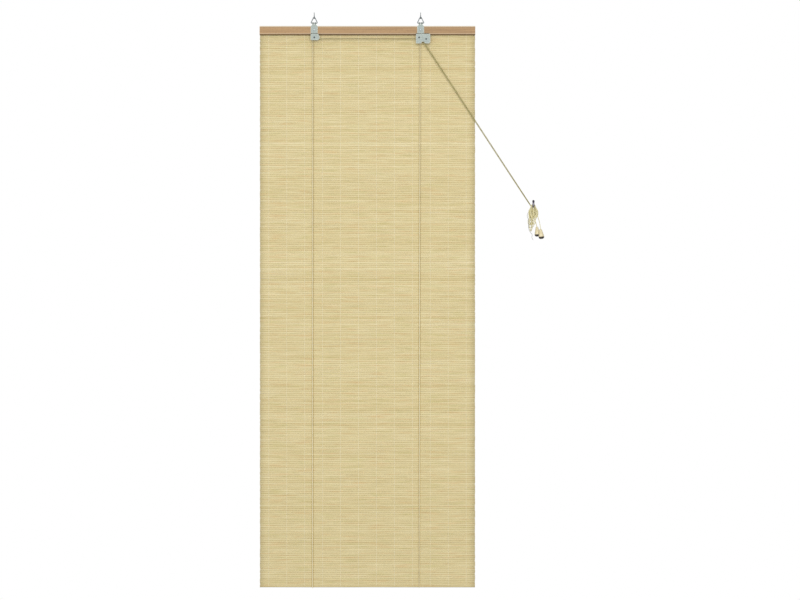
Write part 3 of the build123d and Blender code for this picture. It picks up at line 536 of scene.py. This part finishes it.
def hankTurn(left, right, foldX, foldRadius, foldZ, turned, way, kept, barY, hangY, lift, apart, seed):
    # Down the left of the hank, round its fold, up the right and over the bar. The pair lies side by side
    # in the runs, and one in front of the other round the fold.
    x, z = pullCords["bar"]
    middleZ = foldZ + foldRadius
    shares = [(share, z - drop) for share, drop in zip((pullCords["firstShare"], 1, kept), pullCords["drops"])]
    runs = [(x - share * left, placeZ, 0) for share, placeZ in shares]
    back = [(x + share * right, placeZ, 0) for share, placeZ in reversed(shares)]
    across, inward = way * math.cos(math.radians(turned)), math.sin(math.radians(turned))
    # A half circle takes four points at 1.082 of its radius, and one at 0.414 of it above each end keeps
    # the bend even.
    evenly, inZ = middleZ + 0.414 * foldRadius, middleZ + pullCords["turnIn"]
    fold = [(-foldRadius, inZ, 1), (-foldRadius, evenly, 1)]
    for angle in (22.5, 67.5, 112.5, 157.5):
        a = math.radians(angle)
        fold.append((-foldRadius * 1.082 * math.cos(a), middleZ - foldRadius * 1.082 * math.sin(a), 1))
    fold += [(foldRadius, evenly, 1), (foldRadius, inZ, 1)]
    points = []
    for index, (placeX, placeZ, folded) in enumerate(runs + fold + back):
        turnedIn = placeX * inward if folded else 0
        placeX = foldX + placeX * across if folded else placeX
        # The stray moves on with each point of the runs, and holds still round the fold.
        strayAt = index if index < len(runs) else len(runs) if folded else index - len(fold) + 1
        stray = noise.noise_vector((seed * 3.1, strayAt * 0.6, 0.4 + 0.1 * apart))
        hung = min(1.0, (z - placeZ) / pullCords["freeDrop"])
        split = pullCords["split"] * (1 - 2 * min(1, max(0, (index - len(runs)) / (len(fold) - 1)))) * hung
        placeY = barY + apart * (1 - hung) + (hangY - barY) * hung + apart * folded + turnedIn
        placeY += split + pullCords["strayBack"] * stray.y * hung
        placeX += apart * (1 - folded) * hung + pullCords["stray"] * stray.x
        points.append((placeX, placeY, placeZ + pullCords["stray"] * stray.z))
    return points + roundBar(barY + apart, pullCords["overBar"], lift)


for key, name, side in (("one", "pullCordOne", 1), ("two", "pullCordTwo", -1)):
    route = pullCords["taut"][key] + roundBar(pullCords["entry"][key], pullCords["onToBar"])
    for index, turn in enumerate(pullCords["turns"]):
        route += hankTurn(*turn, pullCords["apart"] * side, seed=index)
    route += pullCords["tails"][key]
    layCord(name, {"route": route, "radius": pullCords["radius"]}, cottonCord)
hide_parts("pull_cord_1", "pull_cord_1_tail", "cord_hank")
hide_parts("pull_cord_2", "pull_cord_2_tail")

# Tie: a thin grey cord that runs loosely down the side of the hank, with its end left wavy.
tieCord = {
    "radius": 0.6,
    "route": [
        (455.5, 8.0, -543), (449.5, 6.5, -546), (445.4, 4.5, -551), (444.2, 3.5, -557), (446.6, 3.5, -564),
        (449.4, 4.5, -573), (448.4, 5.5, -583), (448.4, 5.0, -592), (451.2, 4.0, -600), (455.4, 3.0, -605),
        (458.9, 3.0, -609.5), (457.4, 3.0, -615.5), (458.0, 3.0, -620), (461.0, 3.0, -624),
    ],
}
tie = layCord("tieCord", tieCord, greyThread)
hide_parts("tie_cord")

# Tassels: bells turned on a lathe, with a knot inside each.
tassel = {
    "sides": 48,
    # Distance down from the crown, and radius: outside to the mouth, then back up the inside.
    "outline": [
        (0.0, 1.3), (0.1, 2.6), (0.7, 3.5), (2.2, 3.9), (4.5, 4.2), (6.6, 4.7), (8.2, 5.2), (8.9, 5.5),
        (9.3, 5.25), (9.8, 5.5), (12.0, 6.1), (15.0, 6.75), (18.0, 7.35), (20.0, 7.7), (21.4, 7.85),
        (21.7, 7.7), (22.0, 7.95), (22.9, 7.85), (24.0, 7.4), (25.1, 6.6), (26.0, 5.6), (26.7, 4.6),
        (27.0, 3.9), (26.7, 3.5), (24.0, 4.0), (18.0, 4.0), (9.5, 3.4), (3.2, 2.6), (3.0, 1.3),
    ],
    "bandFrom": 21.2,  # the burnt band starts this far down
    "knotDown": 6, "knotSize": 1.5, "knotThickness": 0.85,
    # The middle of the crown, and the lean to the right in degrees.
    "places": {"large_tassel": ((481.5, 0.0, -594.5), 6.0), "small_tassel": ((472.2, 14.0, -587.5), 4.0)},
}


def turnedBell(name, top, lean):
    tilt = math.radians(lean)
    along = Vector((math.sin(tilt), 0, -math.cos(tilt)))
    across = Vector((math.cos(tilt), 0, math.sin(tilt)))
    sides, outline = tassel["sides"], tassel["outline"]
    points, faces, band = [], [], []
    for down, radius in outline:
        for step in range(sides):
            angle = 2 * math.pi * step / sides
            around = across * (radius * math.cos(angle)) + Vector((0, 1, 0)) * (radius * math.sin(angle))
            points.append(Vector(top) + along * down + around)
            band.append(1.0 if down >= tassel["bandFrom"] else 0.0)
    rings = len(outline)
    for ring in range(rings):
        low, high = ring * sides, (ring + 1) % rings * sides
        for step in range(sides):
            nextStep = (step + 1) % sides
            faces.append((low + step, high + step, high + nextStep, low + nextStep))
    bell = newPiece(name, points, faces, beech, "blind_frame", "turned_wood")
    bell.data.attributes.new("rimBand", "FLOAT", "POINT").data.foreach_set("value", band)
    return bell


def overhandKnot(centre, size, thickness):
    # An overhand knot, drawn up tight.
    line, stations = [], 72
    for step in range(stations):
        t = 2 * math.pi * step / stations
        x, y, z = math.sin(t) + 2 * math.sin(2 * t), math.cos(t) - 2 * math.cos(2 * t), -1.4 * math.sin(3 * t)
        line.append(Vector(centre) + Vector((x, y, z)) * (size / 3))
    return sweep(line, lambda walked, angle: thickness, 10, closed=True)


bells, knots = {}, {}
for node, (top, lean) in tassel["places"].items():
    pieceName = "largeTassel" if node == "large_tassel" else "smallTassel"
    bells[node] = turnedBell(pieceName, top, lean)
    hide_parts(node)
    tilt = math.radians(lean)
    down = tassel["knotDown"]
    inside = (top[0] + down * math.sin(tilt), top[1], top[2] - down * math.cos(tilt))
    knot = overhandKnot(inside, tassel["knotSize"], tassel["knotThickness"])
    knots[node] = newPiece(pieceName + "Knot", *knot, cottonCord, "blind_frame", "cotton_cord")
print("cords and tassels ready")

# Mat: split slats, each a little uneven, laced by cotton warp threads.
mat = {
    "left": -300.0, "right": 300.0, "top": -31.0, "bottom": -1592.0,
    "front": 12.3, "back": 14.1, "pitch": 5.935,
    "stations": 30,  # along each slat
    "gap": (0.0, 0.04), "depthShare": (0.82, 1.0), "lift": (0, 0.15), "endStray": 0.9,
    "tone": (0.3, 0.06),  # the mean and the spread of the slats' tones
    "bow": 0.5, "waver": 0.06, "swell": 0.02,  # a slow bow that neighbours share, and each slat's own wavering
    "threads": [-275 + 50 * index for index in range(12)],
    "threadRadius": 0.42, "twinOffset": 1.3, "threadProud": 0.1, "threadSunk": 0.5, "threadStray": 0.12,
}
slatCount = round((mat["top"] - mat["bottom"]) / mat["pitch"])
pitch = (mat["top"] - mat["bottom"]) / slatCount
points, faces, places, tones = [], [], [], []
# One slat end on, as shares of its height and depth: rounded at the front, square and touching at the back.
section = [
    (-0.5, 0.62), (-0.46, 0.30), (-0.36, 0.10), (-0.12, 0.0), (0.15, 0.0), (0.38, 0.09), (0.46, 0.27),
    (0.5, 0.62), (0.5, 0.92), (-0.5, 0.92),
]
for slat in range(slatCount):
    middle = mat["top"] - pitch * (slat + 0.5)
    height = pitch - random.uniform(*mat["gap"])
    depth = (mat["back"] - mat["front"]) * random.uniform(*mat["depthShare"])
    lift = random.uniform(*mat["lift"])
    low = mat["left"] + random.uniform(0, mat["endStray"])
    high = mat["right"] - random.uniform(0, mat["endStray"])
    tone = random.gauss(*mat["tone"])
    first = len(points)
    for station in range(mat["stations"]):
        x = low + (high - low) * station / (mat["stations"] - 1)
        bow = mat["bow"] * noise.noise((x / 130, slat * 0.11, 0.3))
        bow += mat["waver"] * noise.noise((x / 90, slat * 1.7, 0.3))
        swell = 1 + mat["swell"] * noise.noise((x / 70, slat * 2.3, 5.1))
        for up, back in section:
            z = min(mat["top"], max(mat["bottom"], middle + bow + up * height * swell))
            points.append(Vector((x, mat["front"] + lift + back * depth, z)))
            places.append((x * mm, z * mm))
            tones.append(tone)
    size = len(section)
    for station in range(mat["stations"] - 1):
        a, b = first + station * size, first + (station + 1) * size
        for step in range(size):
            nextStep = (step + 1) % size
            faces.append((a + step, a + nextStep, b + nextStep, b + step))
    faces.append(tuple(reversed(range(first, first + size))))
    faces.append(tuple(range(len(points) - size, len(points))))
slats = newPiece("bambooMat", points, faces, bamboo, "blind_frame", "split_bamboo")
uv = slats.data.uv_layers.new(name="UVMap")
for loop in slats.data.loops:
    uv.data[loop.index].uv = places[loop.vertex_index]
slats.data.attributes.new("slatTone", "FLOAT", "POINT").data.foreach_set("value", tones)
threadParts = []
for x in mat["threads"]:
    # one thread passes over the slats, its twin under them
    for side, offset in ((1, 0), (-1, mat["twinOffset"])):
        line = []
        outer = mat["front"] - mat["threadProud"] if side == 1 else mat["back"] + mat["threadProud"]
        inner = (mat["front"] + mat["back"]) / 2
        for slat in range(slatCount):
            middle = mat["top"] - pitch * (slat + 0.5)
            stray = random.uniform(-mat["threadStray"], mat["threadStray"])
            line.append(Vector((x + offset + stray, outer, middle)))
            if slat < slatCount - 1:
                line.append(Vector((x + offset, inner - side * mat["threadSunk"], middle - pitch / 2)))
        threadParts.append(sweep(line, lambda walked, angle: mat["threadRadius"], 5))
threads = newPiece("warpThreads", *joinMeshes(threadParts), warpCotton, "blind_frame", "cotton_cord")
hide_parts("bamboo_mat")
for piece in (slats, threads):
    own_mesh(piece)
print("mat ready,", slatCount, "slats")

# Lift cords: from each pulley down the front, under the hem and up the back to the anchor.
liftCords = {
    "left": {"top": (-151.6, -0.8), "hem": -153.0},
    "right": {"top": (146.4, -4.0), "hem": 143.6},
    "topZ": -61.9, "radius": 0.9, "front": 11.1, "back": 20.3,
    "keep": 0.0537,  # the share of its height that is left when the blind is raised
    # Heights up the back to the anchor's ring, where the end is knotted.
    "backZs": (-1200, -800, -400), "endZs": (-56, -50, -44.6), "knotZ": -43.4, "knotSize": 1.35,
    "knotThickness": 0.8,
}


def liftCordMesh(route):
    return sweep(lineOf(route), lambda walked, angle: liftCords["radius"], 10)


for side in ("left", "right"):
    topX, topY = liftCords[side]["top"]
    x, front, back, topZ = liftCords[side]["hem"], liftCords["front"], liftCords["back"], liftCords["topZ"]
    route = [(topX, topY, topZ)]
    for share in (0.25, 0.5, 0.75):
        route.append((topX + (x - topX) * share, topY + (front - topY) * share, topZ + (-1584 - topZ) * share))
    route += [(x, front, -1584), (x, front, -1591), (x, front + 0.1, -1593.4), (x, front + 2.4, -1593.6),
              (x, back - 2.4, -1593.6), (x, back - 0.1, -1593.4), (x, back, -1591), (x, back, -1570)]
    route += [(x, back, z) for z in (*liftCords["backZs"], topZ)]
    lift = newPiece(side + "LiftCord", *liftCordMesh(route), liftCotton, "blind_frame", "cotton_cord")
    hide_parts(side + "_lift_cord")
    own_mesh(lift)
    tied = liftCordMesh([(x, back, z) for z in (topZ, *liftCords["endZs"])])
    knot = overhandKnot((x, back, liftCords["knotZ"]), liftCords["knotSize"], liftCords["knotThickness"])
    end = newPiece(side + "CordEnd", *joinMeshes([tied, knot]), liftCotton, "blind_frame", "cotton_cord")
    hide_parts(side + "_cord_end")
print("lift cords ready")


# Screw hooks and the wall hook: round wire, bent, with a rolled thread where it goes into the building.
def threadRadius(hook, walked, angle):
    # The thread winds once in each pitch, from its roots to its crests.
    phase = walked / hook["pitch"] - angle / (2 * math.pi)
    return hook["thread"] - hook["depth"] * abs(2 * (phase - math.floor(phase)) - 1)


def finely(line, step):
    # The same line with stations no further apart than the step, so that a thread can be cut in it.
    fine = [line[0]]
    for a, b in zip(line, line[1:]):
        count = max(1, math.ceil((b - a).length / step))
        fine += [a.lerp(b, index / count) for index in range(1, count + 1)]
    return fine


screwHooks = {
    "wire": 1.4, "thread": 1.1, "pitch": 1.25, "depth": 0.4, "threaded": 10.0, "point": 3.0,
    "bowl": 2.8, "bowlZ": -5.6506, "tipZ": 10.0, "spacing": 296.0,
    "coatedBelow": -0.8,  # the thread was cut through the dark coat
}


def screwHookRadius(walked, angle):
    radius = threadRadius(screwHooks, walked, angle) if walked <= screwHooks["threaded"] else screwHooks["wire"]
    taper = min(1.0, max(0.12, walked / screwHooks["point"]))
    rounded = max(0.0, 1 - (lineLength - walked) / screwHooks["wire"])  # the wire's rounded end
    return radius * taper * math.sqrt(max(0.02, 1 - rounded ** 2))


for side, x in (("left", -screwHooks["spacing"] / 2), ("right", screwHooks["spacing"] / 2)):
    bowl, bowlZ = screwHooks["bowl"], screwHooks["bowlZ"]
    line = [Vector((x, bowl, screwHooks["tipZ"])), Vector((x, bowl, bowlZ))]
    for step in range(1, 25):
        angle = math.radians(190 * step / 24)
        line.append(Vector((x, bowl * math.cos(angle), bowlZ - bowl * math.sin(angle))))
    line = finely(line, 0.2)
    lineLength = lengthOf(line)
    hook = newPiece(
        side + "ScrewHook", *sweep(line, screwHookRadius, 20), hookSteel, side + "_screw_hook", "hook_steel")
    coatAbove(hook, zincBright, screwHooks["coatedBelow"])
    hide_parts(side + "_screw_hook")

wallHook = {
    "x": 461.3, "z": -531.0, "bar": 2.8, "front": -6.0, "wall": 26.0, "tipZ": -513.5, "bend": 5.0, "tip": 3.3,
    "screw": 22.0, "thread": 2.2, "pitch": 1.8, "depth": 0.7, "point": 5.0,
    "dippedAbove": -521.5,  # the tip was dipped in black paint
}
x, z, bend = wallHook["x"], wallHook["z"], wallHook["bend"]
line = [Vector((x, wallHook["wall"] + wallHook["screw"], z)), Vector((x, wallHook["front"] + bend, z))]
for step in range(1, 13):
    angle = math.radians(90 * step / 12)
    line.append(Vector((x, wallHook["front"] + bend * (1 - math.sin(angle)), z + bend * (1 - math.cos(angle)))))
line.append(Vector((x, wallHook["front"], wallHook["tipZ"])))
line = finely(line, 0.3)
lineLength = lengthOf(line)


def wallHookRadius(walked, angle):
    left, tip = lineLength - walked, wallHook["tip"]
    if walked < wallHook["screw"]:
        return threadRadius(wallHook, walked, angle) * min(1.0, max(0.1, walked / wallHook["point"]))
    if left < 2 * tip:  # the ball at the tip
        reach = tip ** 2 - (left - tip) ** 2
        return max(math.sqrt(max(0.01, reach)), wallHook["bar"] if left > tip else 0)
    return wallHook["bar"]


wallHookPiece = newPiece("wallHook", *sweep(line, wallHookRadius, 24), gunmetal, "blind_frame", "gunmetal_hook")
coatAbove(wallHookPiece, blackPaint, wallHook["dippedAbove"])
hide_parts("cord_hook")
print("hooks ready")

# The carried-over parts and their finishes.
finishes = {
    "head_rail": pine, "bottom_slat": slatWood, "mat_staples": zincBright, "hem_staples": zincBright,
    "left_bracket": zincSheet, "right_bracket": zincSheet, "bracket_screws": zincBright,
    "left_pulley_rivet": blackOxide, "right_pulley_pin": zincPin, "spacer_rivet": blackOxide,
    "lock_rivet": blackOxide,
    "left_pulley": nylon, "right_pulley": nylon, "lock_cam": zincBright, "left_link": linkWire,
    "right_link": linkWire,
    "left_cord_anchor": zincBright, "right_cord_anchor": zincBright,
    "left_cord_run": paintedShadeCotton, "right_cord_run": paintedShadeCotton,
}
for node, material in finishes.items():
    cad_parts[node].data.materials.clear()
    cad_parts[node].data.materials.append(material)

# Studio: an even white surround, one large soft light in front and a little above, and a pale floor below.
studio = {
    "surround": 0.48, "backdrop": 1.0,
    "key": 107, "keySize": 2.5, "keyPlace": (0.0, -4.1, 0.2), "keyAim": (0.1, 0, -0.8),
    "floorZ": -1.95, "floorX": (-4, 4.5), "floorY": (-7, 1.5),
}
world = bpy.data.worlds.new("studio")
bpy.context.scene.world = world
world.use_nodes = True
tree = world.node_tree
tree.nodes.clear()
ray = addNode(tree, "ShaderNodeLightPath")
fill = addNode(tree, "ShaderNodeBackground", {"Color": (1, 1, 1, 1), "Strength": studio["surround"]})
seen = addNode(tree, "ShaderNodeBackground", {"Color": (1, 1, 1, 1), "Strength": studio["backdrop"]})
either = addNode(
    tree, "ShaderNodeMixShader", {}, {0: ray.outputs["Is Camera Ray"], 1: fill.outputs[0], 2: seen.outputs[0]})
addNode(tree, "ShaderNodeOutputWorld", {}, {"Surface": either.outputs[0]})
key = bpy.data.objects.new("keyLight", bpy.data.lights.new("keyLight", "AREA"))
key.data.size = studio["keySize"]
key.data.energy = studio["key"]
key.location = studio["keyPlace"]
key.rotation_euler = (Vector(studio["keyAim"]) - key.location).to_track_quat("-Z", "Y").to_euler()
bpy.context.scene.collection.objects.link(key)

floorMaterial, tree, skin = startMaterial("paintedFloor", {"Roughness": 0.7})
place = addNode(tree, "ShaderNodeTexCoord")
speckle = addNode(tree, "ShaderNodeTexNoise", {"Scale": 40, "Detail": 3}, {"Vector": place.outputs["Object"]})
paint = addNode(
    tree, "ShaderNodeValToRGB", {"stops": [(0.3, "#e9e9e7"), (0.7, "#f0f0ee")]}, {"Fac": speckle.outputs["Fac"]})
tree.links.new(paint.outputs["Color"], skin.inputs["Base Color"])
floorMesh = bpy.data.meshes.new("floor")
(left, right), (front, back) = studio["floorX"], studio["floorY"]
corners = [(x, y, studio["floorZ"]) for x, y in ((left, front), (right, front), (right, back), (left, back))]
floorMesh.from_pydata(corners, [], [(0, 1, 2, 3)])
floorMesh.materials.append(floorMaterial)
floor = bpy.data.objects.new("floor", floorMesh)
bpy.context.scene.collection.objects.link(floor)
print("studio ready")
